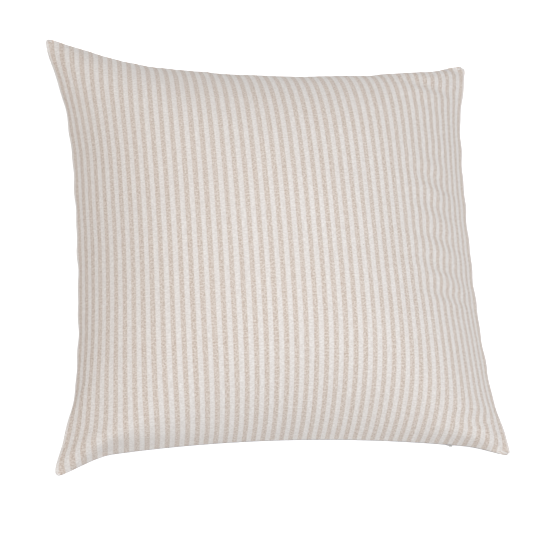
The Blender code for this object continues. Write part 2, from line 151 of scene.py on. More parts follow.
def outline(u, v):
    """Place and lift on the seam's own surface, for u and v from -1 to 1."""
    free = 1 - zipper_hold(u, v)
    right = np.clip(u, 0.0, 1.0) ** 2
    left = np.clip(-u, 0.0, 1.0) ** 2
    top = np.clip(v, 0.0, 1.0) ** 2
    x = u * side_reach(v * EAR_REACH)
    y = v * side_reach(u * EAR_REACH)
    x = x + (SIDE_SHIFT["right"] * right - SIDE_SHIFT["left"] * left) * (1 - v * v) * free
    y = y + (SIDE_SHIFT["top"] - TOP_TILT * u) * top * (1 - u * u) * free
    lift = np.zeros_like(x)
    for (side, end), (shift_x, shift_y, rise, blunt) in EARS.items():
        near = np.exp(-((u - side) ** 2 + (v - end) ** 2) / (2 * EAR_SPREAD ** 2)) * free
        rounding = blunt * np.clip(u * side, 0, 1) ** EAR_BLUNTING * np.clip(v * end, 0, 1) ** EAR_BLUNTING
        x = x + shift_x * near - side * rounding
        y = y + shift_y * near - end * rounding
        lift = lift + rise * near
    wave_x = EDGE_WAVE * (np.sin(v * 23 + u * 2) + np.sin(v * 41 - 1)) * np.abs(u) ** 8
    wave_y = EDGE_WAVE * (np.sin(u * 21 + 1) + np.sin(u * 37)) * np.clip(v, 0, 1) ** 8
    wave_z = LEVEL_WAVE * (np.sin(v * 13 + 2 * u) + np.sin(u * 19 + v * 9)) * np.abs(u * v) ** 0.5
    return x + wave_x * free, y + wave_y * free, lift + wave_z * free


def side_marks():
    """How far along each side the outline has run, from -1 to 1, at even steps."""
    one = np.ones_like(MARK_STEPS)
    sides = {"low": (MARK_STEPS, -one), "top": (MARK_STEPS, one),
             "left": (-one, MARK_STEPS), "right": (one, MARK_STEPS)}
    marks = {}
    for name, (u, v) in sides.items():
        x, y, _ = outline(u, v)
        run = np.concatenate([[0], np.cumsum(np.hypot(np.diff(x), np.diff(y)))])
        marks[name] = 2 * run / run[-1] - 1
    return marks


MARKS = side_marks()


def eased_in(along, gather, skew):
    """Lines of the cut eased in towards the middle of a side, the spare length left in its ears."""
    return along + (along ** GATHER_POWER - along) * gather + skew * (1 - along * along)


def spread(u, v):
    """Move the cut's lines along the sides so that the cloth is spread evenly over each."""
    low = np.interp(eased_in(u, ZIP_GATHER, ZIP_SKEW), MARKS["low"], MARK_STEPS)
    top = np.interp(eased_in(u, TOP_GATHER, 0.0), MARKS["top"], MARK_STEPS)
    left = np.interp(v, MARKS["left"], MARK_STEPS)
    right = np.interp(v, MARKS["right"], MARK_STEPS)
    return (low * (1 - v) + top * (1 + v)) / 2, (left * (1 - u) + right * (1 + u)) / 2


def from_seam(u, v):
    """Distance in from the nearest side."""
    return (1 - np.maximum(np.abs(u), np.abs(v))) * (SIDE_MIDDLE + SIDE_SAG)


def stuffed_start():
    """Front and back of the cover, one grid each sharing the seam, and the level that parts them."""
    steps = np.linspace(-1, 1, GRID + 1)
    u, v = np.meshgrid(steps, steps, indexing="ij")
    across, along = spread(u, v)
    x, y, lift = outline(across, along)
    dome = np.clip((1 - across ** 2) * (1 - along ** 2), 0.0, None) ** CROWN_POWER
    parting = SEAM_Z + lift * (1 - dome)
    front = np.stack([x, y, parting + FRONT_CROWN * dome], axis=-1)
    back = np.stack([x, y, parting - np.minimum(BACK_CROWN * dome, BACK_DROP)], axis=-1)
    return u, v, front, back, parting


def grid_quads(ids):
    """Four-cornered faces of a grid of points."""
    corners = [ids[:-1, :-1], ids[1:, :-1], ids[1:, 1:], ids[:-1, 1:]]
    return np.stack([corner.ravel() for corner in corners], axis=1)


def mesh_object(name, points, quads):
    mesh = bpy.data.meshes.new(name)
    mesh.from_pydata(np.asarray(points).tolist(), [], np.asarray(quads).tolist())
    mesh.update()
    piece = bpy.data.objects.new(name, mesh)
    bpy.context.scene.collection.objects.link(piece)
    return piece


def draw_together(first, second, length, stretch, squeeze):
    """Bring points of the cloth towards the distance they were woven at."""
    run = second - first
    now = np.linalg.norm(run, axis=-1, keepdims=True)
    over = now - length
    step = run / now * over * 0.5 * np.where(over > 0, stretch, squeeze)
    first += step
    second -= step


def kept_from_creasing(points, lengths):
    """Hold points two cells apart far enough from each other for the cloth to turn in a curve."""
    count = len(points)
    for start in range(4):
        here = slice(start, count - 2, 4)
        there = slice(start + 2, count, 4)
        number = len(points[there])
        woven = lengths[here][:number] + lengths[start + 1::4][:number]
        draw_together(points[here][:number], points[there], woven * ROUNDNESS, 0.0, 1.0)


def seam_limit(points, rim_line, along, out, lean):
    """How far out the cloth may lie beside one side: less and less above or below the seam."""
    place = points[..., along]
    reach = np.interp(place, rim_line[:, along], rim_line[:, 1 - along])
    level = np.interp(place, rim_line[:, along], rim_line[:, 2])
    rise = np.minimum(np.abs(points[..., 2] - level), LEAN_RISE)
    return reach + out * (OVERHANG - lean * rise)


def kept_inside(points, rim_points, lean):
    """Keep the cloth leaning in over its seam."""
    low = seam_limit(points, rim_points[:, 0], 0, -1, lean)
    top = seam_limit(points, rim_points[:, -1], 0, 1, lean)
    left = seam_limit(points, rim_points[0], 1, -1, lean)
    right = seam_limit(points, rim_points[-1], 1, 1, lean)
    points[..., 1] = np.clip(points[..., 1], low, top)
    points[..., 0] = np.clip(points[..., 0], left, right)


def woven_lengths(start, cut_half):
    """Length of every cell along both ways; near a seam it eases to the seam's own spacing."""
    cell = 2 * cut_half / GRID
    near = eased((np.abs(np.linspace(-1, 1, GRID + 1)) - EASE_START) / (1 - EASE_START))
    half = GRID // 2
    ways = []
    for turned in (start, start.transpose(1, 0, 2)):
        first = np.linalg.norm(np.diff(turned[:, 0], axis=0), axis=1)
        last = np.linalg.norm(np.diff(turned[:, -1], axis=0), axis=1)
        ends = np.where(np.arange(GRID + 1)[None, :] < half, first[:, None], last[:, None])
        ways.append(cell + (ends - cell) * near[None, :])
    return ways[0][..., None], ways[1].T[..., None]


def kept_apart(points, parting, side):
    """Keep the front above the level between the two panels, and the back below it, off the floor."""
    if side > 0:
        points[..., 2] = np.maximum(points[..., 2], parting)
    else:
        points[..., 2] = np.clip(points[..., 2], 0.0, parting)


def settled(start, parting, cut_half, side):
    """Lay the flat cut over the stuffed form: pushed out by the filling, held by its own weave."""
    cell = 2 * cut_half / GRID
    wide, high = woven_lengths(start, cut_half)
    diagonal = np.sqrt(wide[:, 1:] ** 2 + high[1:, :] ** 2)
    points = start.copy()
    before = start.copy()
    rim = np.ones(points.shape[:2], bool)
    rim[1:-1, 1:-1] = False
    for number in range(SETTLE_ROUNDS):
        slide = (points - before) * SETTLE_DRIFT
        before = points.copy()
        points += slide
        outward = np.cross(points[2:, 1:-1] - points[:-2, 1:-1], points[1:-1, 2:] - points[1:-1, :-2])
        points[1:-1, 1:-1] += outward * (side * SETTLE_PUSH / (4 * cell * cell))
        points[rim] = start[rim]
        for odd in (0, 1):
            here = slice(odd, GRID, 2)
            there = slice(odd + 1, GRID + 1, 2)
            draw_together(points[here], points[there], wide[here], 1.0, SQUEEZE_GIVE)
            draw_together(points[:, here], points[:, there], high[:, here], 1.0, SQUEEZE_GIVE)
            draw_together(points[here, :-1], points[there, 1:], diagonal[here], 1.0, SHEAR_GIVE)
            draw_together(points[here, 1:], points[there, :-1], diagonal[here], 1.0, SHEAR_GIVE)
        kept_from_creasing(points, wide)
        kept_from_creasing(points.transpose(1, 0, 2), high.transpose(1, 0, 2))
        if number % 4 == 0 or number == SETTLE_ROUNDS - 1:
            kept_inside(points, start, FRONT_LEAN if side > 0 else BACK_LEAN)
        kept_apart(points, parting, side)
        points[rim] = start[rim]
    return points


def sewn_cover(front, back):
    """Both grids as one closed mesh with a group for its seam, and which point is which."""
    count = GRID + 1
    inner = slice(1, GRID)
    front_ids = np.arange(count * count).reshape(count, count)
    back_ids = front_ids.copy()
    back_ids[inner, inner] = count * count + np.arange((GRID - 1) ** 2).reshape(GRID - 1, -1)
    points = np.concatenate([front.reshape(-1, 3), back[inner, inner].reshape(-1, 3)])
    quads = np.concatenate([grid_quads(front_ids), grid_quads(back_ids)[:, ::-1]])
    cover = mesh_object("cover_trial", points, quads)
    edge = np.ones((count, count), bool)
    edge[inner, inner] = False
    cover.vertex_groups.new(name="seam").add(front_ids[edge].tolist(), 1.0, "REPLACE")
    return cover, front_ids, back_ids


def make_cloth(cover):
    """Light cloth under pressure, its seam held."""
    cloth = cover.modifiers.new("cloth", "CLOTH")
    settings = cloth.settings
    settings.quality = 8
    settings.mass = 0.02
    settings.air_damping = 2.0
    settings.tension_stiffness = 30
    settings.compression_stiffness = 12
    settings.shear_stiffness = 6
    settings.bending_stiffness = 0.3
    settings.use_pressure = True
    settings.uniform_pressure_force = PRESSURE
    settings.vertex_group_mass = "seam"
    settings.pin_stiffness = 1
    settings.effector_weights.gravity = 0
    cloth.collision_settings.use_collision = False
    cloth.collision_settings.use_self_collision = False
    cloth.point_cache.frame_start = 1
    cloth.point_cache.frame_end = SIM_FRAMES


def inflate(front, back):
    """Blow the sewn cover up under pressure."""
    cover, front_ids, back_ids = sewn_cover(front, back)
    make_cloth(cover)
    for number in range(1, SIM_FRAMES + 1):
        bpy.context.scene.frame_set(number)
    shown = cover.evaluated_get(bpy.context.evaluated_depsgraph_get())
    result = np.zeros(len(cover.data.vertices) * 3)
    shown.data.vertices.foreach_get("co", result)
    result = result.reshape(-1, 3)
    bpy.data.objects.remove(cover)
    bpy.context.scene.frame_set(1)
    return result[front_ids], result[back_ids]


def capped(start, moved, u, v):
    """The simulated place, kept within reach of the start."""
    step = moved - start
    length = np.linalg.norm(step, axis=-1, keepdims=True)
    reach = SIM_NEAR + SIM_REACH * eased(from_seam(u, v) / SIM_RAMP)[..., None]
    step = step * np.minimum(1.0, reach / np.maximum(length, 1e-9))
    return start + step


def shaped_cover():
    """Front and back grids of the stuffed cover."""
    u, v, front, back, parting = stuffed_start()
    front = settled(front, parting, CUT_HALF, 1)
    back = settled(back, parting, BACK_CUT_HALF, -1)
    soft_front, soft_back = inflate(front, back)
    front_seam, back_seam = front.copy(), back.copy()
    front = capped(front, soft_front, u, v)
    back = capped(back, soft_back, u, v)
    kept_inside(front, front_seam, FRONT_LEAN)
    kept_inside(back, back_seam, BACK_LEAN)
    kept_apart(front, parting, 1)
    kept_apart(back, parting, -1)
    return front, back


def closer(grid, lines):
    """A grid read at other lines by smooth curves through its points."""
    for _ in range(2):
        ends = (2 * grid[:1] - grid[1:2], 2 * grid[-1:] - grid[-2:-1])
        line = np.concatenate([ends[0], grid, ends[1]])
        place = (lines + 1) / 2 * (len(grid) - 1)
        first = np.clip(np.floor(place).astype(int), 0, len(grid) - 2)
        t = (place - first)[:, None, None]
        a, b, c, d = (line[first + number] for number in range(4))
        grid = 0.5 * (2 * b + (c - a) * t + (2 * a - 5 * b + 4 * c - d) * t ** 2
                      + (3 * b - a - 3 * c + d) * t ** 3)
        grid = grid.transpose(1, 0, 2)
    return grid


def crowded(cells, extra):
    """Even lines from -1 to 1, with extra ones close to both ends."""
    lines = list(np.linspace(-1, 1, cells + 1))
    for gap in extra:
        lines += [gap - 1, 1 - gap]
    return np.array(sorted(lines))


def border(count):
    """Indices of a square grid's edge points, once round."""
    last = count - 1
    places = [(number, 0) for number in range(last)]
    places += [(last, number) for number in range(last)]
    places += [(last - number, last) for number in range(last)]
    places += [(0, last - number) for number in range(last)]
    return tuple(np.array(places).T)


def seam_ring(u, v, inset):
    """Points round the seam, moved in by an inset."""
    keep = 1 - inset / (SIDE_MIDDLE + SIDE_SAG)
    across, along = spread(u, v)
    x, y, _ = outline(across * keep, along * keep)
    _, _, lift = outline(across, along)
    return np.stack([x, y, SEAM_Z + lift], axis=-1)


def skirted(ids, before, rings, side):
    """Faces of a grid, and of the rings of points that follow round its edge."""
    quads = [grid_quads(ids)]
    for number in range(rings):
        after = ids.size + number * len(before) + np.arange(len(before))
        quads.append(np.stack([before, after, np.roll(after, -1), np.roll(before, -1)], axis=1))
        before = after
    quads = np.concatenate(quads)
    return quads if side > 0 else quads[:, ::-1]


def folded_edge(u, v, side):
    """The seam's nose and the allowance folded in behind it, with their places on the flat cut."""
    zipped = eased(zipper_hold(*spread(u, v)) * 2) * (v < -0.999)
    low = SEAM_GAP + (ZIP_GAP - SEAM_GAP) * zipped
    level = SEAM_GAP + (ZIP_LEVEL - SEAM_GAP) * zipped
    width = ALLOWANCE + (ZIP_ALLOWANCE - ALLOWANCE) * zipped
    rings = []
    cuts = []
    for inset, rise in ((-NOSE_OUT, low + CLOTH / 2), (0.0, low), (FOLD_RUN, level), (width, level)):
        ring = seam_ring(u, v, inset)
        ring[:, 2] += side * rise
        rings.append(ring)
        reach = CUT_HALF + np.maximum(inset, 0) * np.ones(len(u))
        cuts.append(np.stack([u, v], axis=1) * reach[:, None])
    return rings, cuts


def panel(name, grid, side):
    """One cloth panel: its face, its rounded nose and the allowance folded in behind."""
    lines = crowded(2 * GRID, EDGE_LINES)
    face = closer(grid, lines)
    u, v = np.meshgrid(lines, lines, indexing="ij")
    lip = SEAM_GAP + (ZIP_GAP - SEAM_GAP) * eased(zipper_hold(*spread(u, v)) * 2)
    face[..., 2] += side * (lip + CLOTH) * (1 - eased(from_seam(u, v) / NOSE_RUN))
    if side < 0:
        face[..., 2] = np.maximum(face[..., 2], 0.0)
    ids = np.arange(u.size).reshape(u.shape)
    edge = border(len(lines))
    rings, cuts = folded_edge(u[edge], v[edge], side)
    quads = skirted(ids, ids[edge], len(rings), side)
    piece = mesh_object(name, np.concatenate([face.reshape(-1, 3), *rings]), quads)
    mark_cut(piece, np.concatenate([np.stack([u, v], axis=-1).reshape(-1, 2) * CUT_HALF, *cuts]))
    piece.data.shade_smooth()
    thicken(piece, CLOTH)
    return piece


def thicken(piece, thickness):
    shell = piece.modifiers.new("cloth thickness", "SOLIDIFY")
    shell.thickness = thickness
    shell.offset = -1
    select_only(piece)
    bpy.ops.object.modifier_apply(modifier=shell.name)


def select_only(piece):
    bpy.ops.object.select_all(action="DESELECT")
    piece.select_set(True)
    bpy.context.view_layer.objects.active = piece


def finished(piece, slot, material, *nodes, body="root", fill=None):
    """Say what a piece is: its body, its finish and the solids it stands for. Its slot is not used."""
    piece.data.materials.clear()
    piece.data.materials.append(material)
    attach(piece, body)
    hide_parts(*nodes)


# Stitching, casing and filling

SEAM_DEPTH = 0.0012
THREAD_RADIUS = 0.00015
STITCH = 0.0028
THREAD_SIDES = 6
CASING_INSET = 0.0185
FILLING_INSET = 0.028
CASING_CLOTH = 0.0005
COVER_CLEAR = 0.0022                        # room between the cover and the casing
CASING_CELLS = 72
CASING_LINES = (0.006,)                     # extra line of the mesh beside its seam
CASING_ALLOWANCE = 0.008
FILLING_CLEAR = 0.0016
FILLING_CELLS = 60
FILLING_EDGE = 0.03                         # the filling thins over this stretch beside its edge
FILLING_THINNING = 0.08
PLUMPNESS = 1.06                            # the insert is a little larger than its cover
RAY_START = 0.004                           # where a measuring ray starts, off the seam's level
RAY_REACH = 0.3


def tube(name, path, radius, sides):
    """Closed round bar along a path of points."""
    path = np.asarray(path)
    run = np.gradient(path, axis=0)
    run /= np.linalg.norm(run, axis=1, keepdims=True)
    level = np.array([0.0, 0.0, 1.0])
    first = np.cross(run, level)
    first /= np.linalg.norm(first, axis=1, keepdims=True)
    second = np.cross(first, run)
    turns = 2 * math.pi * np.arange(sides) / sides
    rings = (path[:, None] + radius * (np.cos(turns)[None, :, None] * first[:, None]
                                       + np.sin(turns)[None, :, None] * second[:, None]))
    ids = np.arange(len(path) * sides).reshape(len(path), sides)
    after = np.roll(ids, -1, axis=1)
    quads = np.stack([ids[:-1].ravel(), ids[1:].ravel(), after[1:].ravel(), after[:-1].ravel()], axis=1)
    faces = quads.tolist() + [ids[0].tolist(), ids[-1][::-1].tolist()]
    mesh = bpy.data.meshes.new(name)
    mesh.from_pydata(rings.reshape(-1, 3).tolist(), [], faces)
    mesh.update()
    piece = bpy.data.objects.new(name, mesh)
    bpy.context.scene.collection.objects.link(piece)
    piece.data.shade_smooth()
    return piece


def seam_stitches():
    """The thread along three sides of the cover and round both ends of the zipper side."""
    steps = np.linspace(-1, 1, 161)
    late = steps[steps > 0.93]
    early = steps[steps < -0.93]
    u = np.concatenate([late[:-1], np.ones(160), -steps[:-1], -np.ones(160), early])
    v = np.concatenate([-np.ones(len(late) - 1), steps[:-1], np.ones(160), -steps[:-1], -np.ones(len(early))])
    path = seam_ring(u, v, SEAM_DEPTH)
    run = np.concatenate([[0], np.cumsum(np.linalg.norm(np.diff(path, axis=0), axis=1))])
    fine = np.arange(0, run[-1], STITCH / 2)
    path = np.stack([np.interp(fine, run, path[:, axis]) for axis in range(3)], axis=1)
    path[:, 2] += 0.0002 * np.where(np.arange(len(path)) % 2, 1, -1)
    return tube("cover_seam_stitches", path, THREAD_RADIUS, THREAD_SIDES)


def surface_finder(cover):
    """The cover's own surface, to keep the pieces inside it below its cloth."""
    mesh = cover.data
    points = [vertex.co.copy() for vertex in mesh.vertices]
    faces = [tuple(face.vertices) for face in mesh.polygons]
    return BVHTree.FromPolygons(points, faces)


def headroom(shadow, x, y, side):
    """Height of the cover's inner face over a place inside the seam."""
    start = Vector((x, y, SEAM_Z + side * RAY_START))
    spot, _, _, distance = shadow.ray_cast(start, Vector((0, 0, side)), RAY_REACH)
    return RAY_START + distance if spot else 0.0


def even_plan(u, v, inset):
    """The even outline moved in by an inset."""
    keep = 1 - inset / (SIDE_MIDDLE + SIDE_SAG)
    x = u * keep * side_reach(v * keep * EAR_REACH)
    y = v * keep * side_reach(u * keep * EAR_REACH)
    return x, y


def dome_under(shadow, u, v, inset, clear, side):
    """A dome from its own flat edge up to just below the cover."""
    x, y = even_plan(u, v, inset)
    crown = FRONT_CROWN if side > 0 else BACK_CROWN
    dome = np.clip((1 - u * u) * (1 - v * v), 0.0, None) ** CROWN_POWER
    height = np.zeros_like(x)
    for spot in np.ndindex(*x.shape):
        if dome[spot] > 0:
            room = headroom(shadow, x[spot], y[spot], side) - clear
            height[spot] = max(min(crown * dome[spot] * PLUMPNESS, room), 0.0)
    return x, y, height


def casing_panel(name, shadow, side):
    """One side of the insert's casing, closed by its own folded edge."""
    steps = crowded(CASING_CELLS, CASING_LINES)
    u, v = np.meshgrid(steps, steps, indexing="ij")
    x, y, height = dome_under(shadow, u, v, CASING_INSET, COVER_CLEAR, side)
    height = height + SEAM_GAP + CASING_CLOTH
    ids = np.arange(u.size).reshape(u.shape)
    edge = border(len(steps))
    points = [np.stack([x, y, SEAM_Z + side * height], axis=-1).reshape(-1, 3)]
    cuts = [np.stack([u, v], axis=-1).reshape(-1, 2) * CUT_HALF]
    for fold in (0.0, CASING_ALLOWANCE):
        ring_x, ring_y = even_plan(u[edge], v[edge], CASING_INSET + fold)
        points.append(np.stack([ring_x, ring_y, SEAM_Z + side * SEAM_GAP + 0 * ring_x], axis=-1))
        cuts.append(np.stack([u[edge], v[edge]], axis=1) * (CUT_HALF + fold))
    piece = mesh_object(name, np.concatenate(points), skirted(ids, ids[edge], 2, side))
    mark_cut(piece, np.concatenate(cuts))
    piece.data.shade_smooth()
    thicken(piece, CASING_CLOTH)
    return piece


def fibre_filling(front_shadow, back_shadow):
    """The stuffing: one soft body a little lumpy all over, inside the casing."""
    steps = np.linspace(-1, 1, FILLING_CELLS + 1)
    u, v = np.meshgrid(steps, steps, indexing="ij")
    clear = COVER_CLEAR + CASING_CLOTH + FILLING_CLEAR
    x, y, high = dome_under(front_shadow, u, v, FILLING_INSET, clear, 1)
    _, _, low = dome_under(back_shadow, u, v, FILLING_INSET, clear, -1)
    lump = 1 - 0.02 * (1 + np.sin(u * 14 + 2 * np.sin(v * 9)) * np.sin(v * 12 + u * 4))
    thinned = 1 - FILLING_THINNING * (1 - eased(from_seam(u, v) / FILLING_EDGE))
    count = len(steps)
    top = np.arange(count * count).reshape(count, count)
    bottom = top.copy()
    inner = slice(1, count - 1)
    bottom[inner, inner] = count * count + np.arange((count - 2) ** 2).reshape(count - 2, -1)
    front = np.stack([x, y, SEAM_Z + high * thinned * lump], axis=-1)
    back = np.stack([x, y, SEAM_Z - low * thinned * lump], axis=-1)
    points = np.concatenate([front.reshape(-1, 3), back[inner, inner].reshape(-1, 3)])
    quads = np.concatenate([grid_quads(top), grid_quads(bottom)[:, ::-1]])
    piece = mesh_object("stuffing", points, quads)
    piece.data.shade_smooth()
    return piece


def mark_cut(piece, cut):
    """Lay the flat cut, in metres, onto the piece as its own map."""
    layer = piece.data.uv_layers.new(name="cut")
    corners = np.zeros(len(piece.data.loops), int)
    piece.data.loops.foreach_get("vertex_index", corners)
    layer.data.foreach_set("uv", cut[corners].ravel())


# Node helpers

def add(tree, kind, **settings):
    node = tree.nodes.new(kind)
    for name, value in settings.items():
        setattr(node, name, value)
    return node


def feed(tree, target, value):
    """Join a socket, or set a plain value."""
    if isinstance(value, bpy.types.NodeSocket):
        tree.links.new(value, target)
    else:
        target.default_value = value


def maths(tree, operation, first, second=0.0, third=0.0):
    node = add(tree, "ShaderNodeMath", operation=operation)
    for target, value in zip(node.inputs, (first, second, third)):
        feed(tree, target, value)
    return node.outputs[0]


def between(tree, value, low, high, new_low=0.0, new_high=1.0):
    node = add(tree, "ShaderNodeMapRange", interpolation_type="SMOOTHSTEP")
    for target, item in zip(node.inputs, (value, low, high, new_low, new_high)):
        feed(tree, target, item)
    return node.outputs[0]


def noise(tree, place, scale, detail=2.0, roughness=0.5):
    node = add(tree, "ShaderNodeTexNoise")
    feed(tree, node.inputs["Vector"], place)
    node.inputs["Scale"].default_value = scale
    node.inputs["Detail"].default_value = detail
    node.inputs["Roughness"].default_value = roughness
    return node.outputs["Fac"]


def stretched(tree, place, scale, offset=(0, 0, 0)):
    node = add(tree, "ShaderNodeMapping")
    feed(tree, node.inputs["Vector"], place)
    node.inputs["Scale"].default_value = scale
    node.inputs["Location"].default_value = offset
    return node.outputs[0]


def mixed(tree, share, first, second, blend="MIX"):
    node = add(tree, "ShaderNodeMix", data_type="RGBA", blend_type=blend)
    feed(tree, node.inputs["Factor"], share)
    feed(tree, node.inputs[6], first)
    feed(tree, node.inputs[7], second)
    return node.outputs[2]


def group(name, inputs, outputs):
    tree = bpy.data.node_groups.new(name, "ShaderNodeTree")
    for label, kind, value in inputs:
        item = tree.interface.new_socket(label, in_out="INPUT", socket_type=kind)
        if value is not None:
            item.default_value = value
    for label, kind in outputs:
        tree.interface.new_socket(label, in_out="OUTPUT", socket_type=kind)
    return tree, tree.nodes.new("NodeGroupInput").outputs, tree.nodes.new("NodeGroupOutput").inputs


def use(tree, made, **values):
    node = add(tree, "ShaderNodeGroup", node_tree=made)
    for label, value in values.items():
        feed(tree, node.inputs[label.replace("_", " ")], value)
    return node.outputs


def weave_group():
    """Plain weave: crossing threads, each a little different from the next."""
    tree, given, out = group(
        "plain weave",
        [("Place", "NodeSocketVector", None), ("Threads", "NodeSocketFloat", 2000.0),
         ("Uneven", "NodeSocketFloat", 0.35)],
        [("Height", "NodeSocketFloat"), ("Yarn", "NodeSocketFloat")])
    wobble = noise(tree, given["Place"], 90.0)
    wobble = maths(tree, "MULTIPLY", maths(tree, "SUBTRACT", wobble, 0.5), 0.0012)
    parts = add(tree, "ShaderNodeSeparateXYZ")
    feed(tree, parts.inputs[0], given["Place"])
    across = maths(tree, "MULTIPLY", maths(tree, "ADD", parts.outputs[0], wobble), given["Threads"])
    along = maths(tree, "MULTIPLY", maths(tree, "ADD", parts.outputs[1], wobble), given["Threads"])
    warp_number = maths(tree, "FLOOR", across)
    weft_number = maths(tree, "FLOOR", along)
    odd = maths(tree, "MODULO", maths(tree, "ABSOLUTE", maths(tree, "ADD", warp_number, weft_number)), 2.0)
    warp_round = maths(tree, "SINE", maths(tree, "MULTIPLY", maths(tree, "FRACT", across), math.pi))
    weft_round = maths(tree, "SINE", maths(tree, "MULTIPLY", maths(tree, "FRACT", along), math.pi))
    over = maths(tree, "MULTIPLY", warp_round, maths(tree, "MULTIPLY_ADD", weft_round, 0.45, 0.55))
    under = maths(tree, "MULTIPLY", weft_round, maths(tree, "MULTIPLY_ADD", warp_round, 0.45, 0.55))
    lower = maths(tree, "MULTIPLY", under, maths(tree, "SUBTRACT", 1.0, odd))
    height = maths(tree, "MULTIPLY_ADD", over, odd, lower)
    number = add(tree, "ShaderNodeCombineXYZ")
    feed(tree, number.inputs[0], maths(tree, "MULTIPLY", warp_number, odd))
    feed(tree, number.inputs[1], maths(tree, "MULTIPLY", weft_number, maths(tree, "SUBTRACT", 1.0, odd)))
    white = add(tree, "ShaderNodeTexWhiteNoise", noise_dimensions="3D")
    feed(tree, white.inputs["Vector"], number.outputs[0])
    thick = maths(tree, "MULTIPLY", maths(tree, "SUBTRACT", white.outputs["Value"], 0.5), given["Uneven"])
    feed(tree, out["Height"], maths(tree, "ADD", height, thick))
    feed(tree, out["Yarn"], white.outputs["Value"])
    return tree


def slub_group():
    """Fine streaks and flecks of uneven yarn, along and across the cloth."""
    tree, given, out = group(
        "yarn flecks",
        [("Place", "NodeSocketVector", None)],
        [("Fleck", "NodeSocketFloat"), ("Weft", "NodeSocketFloat"), ("Drift", "NodeSocketFloat")])
    place = given["Place"]
    fleck = noise(tree, stretched(tree, place, (520, 620, 1)), 1.0, 3.0, 0.7)
    weft = noise(tree, stretched(tree, place, (330, 620, 1), (3, 5, 0)), 1.0, 2.0, 0.6)
    feed(tree, out["Fleck"], between(tree, fleck, 0.38, 0.64))
    feed(tree, out["Weft"], between(tree, weft, 0.36, 0.66))
    feed(tree, out["Drift"], between(tree, noise(tree, place, 14.0, 3.0), 0.3, 0.7))
    return tree


WEAVE = weave_group()
FLECKS = slub_group()


def new_material(name):
    """A material with its tree and its Principled shader."""
    material = bpy.data.materials.new(name)
    material.use_nodes = True
    tree = material.node_tree
    shader = tree.nodes["Principled BSDF"]
    return material, tree, shader


def cut_place(tree):
    """Place on the flat cut, in metres."""
    return add(tree, "ShaderNodeUVMap", uv_map="cut").outputs[0]


def object_place(tree):
    return add(tree, "ShaderNodeTexCoord").outputs["Object"]


def cloth_shader(shader, roughness, sheen):
    shader.inputs["Roughness"].default_value = roughness
    shader.inputs["Specular IOR Level"].default_value = 0.25
    shader.inputs["Sheen Weight"].default_value = sheen
    shader.inputs["Sheen Roughness"].default_value = 0.6


def bumped(tree, shader, height, strength, distance):
    bump = add(tree, "ShaderNodeBump")
    bump.inputs["Strength"].default_value = strength
    bump.inputs["Distance"].default_value = distance
    feed(tree, bump.inputs["Height"], height)
    feed(tree, shader.inputs["Normal"], bump.outputs[0])


STRIPE_WAVER = 0.0006                       # how far a stripe's edge strays along its run
STRIPE_FRAY = 0.0006
BEIGE_LOW = (0.525, 0.405, 0.325, 1)
BEIGE_HIGH = (0.800, 0.722, 0.660, 1)
PALE_LOW = (0.765, 0.717, 0.680, 1)
PALE_HIGH = (0.915, 0.880, 0.850, 1)
NEP_BROWN = (0.36, 0.28, 0.22, 1)
NEP_SPACING = 0.026
NEP_SHARE = 0.08                            # how many of the places hold one


def neps(tree, place):
    """A few small dark knots of fibre, spun in by chance."""
    spots = add(tree, "ShaderNodeTexVoronoi", voronoi_dimensions="2D")
    feed(tree, spots.inputs["Vector"], place)
    spots.inputs["Scale"].default_value = 1 / NEP_SPACING
    round_spot = between(tree, spots.outputs["Distance"], 0.008, 0.020, 1.0, 0.0)
    chosen = add(tree, "ShaderNodeSeparateColor")
    feed(tree, chosen.inputs[0], spots.outputs["Color"])
    return maths(tree, "MULTIPLY", round_spot, maths(tree, "GREATER_THAN", chosen.outputs[0], 1 - NEP_SHARE))


def striped_cotton():
    material, tree, shader = new_material("striped_cotton_cloth")
    cloth_shader(shader, 0.9, 0.25)
    place = cut_place(tree)
    weave = use(tree, WEAVE, Place=place, Threads=1900.0, Uneven=0.5)
    fleck = use(tree, FLECKS, Place=place)
    parts = add(tree, "ShaderNodeSeparateXYZ")
    feed(tree, parts.inputs[0], place)
    waver = noise(tree, stretched(tree, place, (30, 9, 1)), 1.0, 3.0)
    frayed = noise(tree, stretched(tree, place, (200, 900, 1)), 1.0, 1.0)
    shift = maths(tree, "MULTIPLY", maths(tree, "SUBTRACT", waver, 0.5), STRIPE_WAVER)
    shift = maths(tree, "MULTIPLY_ADD", maths(tree, "SUBTRACT", frayed, 0.5), STRIPE_FRAY, shift)
    across = maths(tree, "DIVIDE", maths(tree, "ADD", parts.outputs[0], shift), STRIPE_REPEAT)
    wave = maths(tree, "COSINE", maths(tree, "MULTIPLY", across, 2 * math.pi))
    band = between(tree, wave, -0.30, 0.28)
    deep = mixed(tree, fleck["Fleck"], BEIGE_LOW, BEIGE_HIGH)
    deep = mixed(tree, maths(tree, "MULTIPLY", weave["Yarn"], 0.35), deep, (0.86, 0.82, 0.77, 1))
    pale = mixed(tree, fleck["Weft"], PALE_LOW, PALE_HIGH)
    pale = mixed(tree, maths(tree, "MULTIPLY", fleck["Fleck"], 0.30), pale, (0.74, 0.70, 0.67, 1))
    colour = mixed(tree, band, pale, deep)
    colour = mixed(tree, maths(tree, "MULTIPLY", fleck["Drift"], 0.08), colour, (0.66, 0.61, 0.57, 1))
    colour = mixed(tree, neps(tree, place), colour, NEP_BROWN)
    feed(tree, shader.inputs["Base Color"], colour)
    height = maths(tree, "MULTIPLY_ADD", fleck["Fleck"], 0.5, weave["Height"])
    bumped(tree, shader, height, 0.55, 0.00022)
    return material


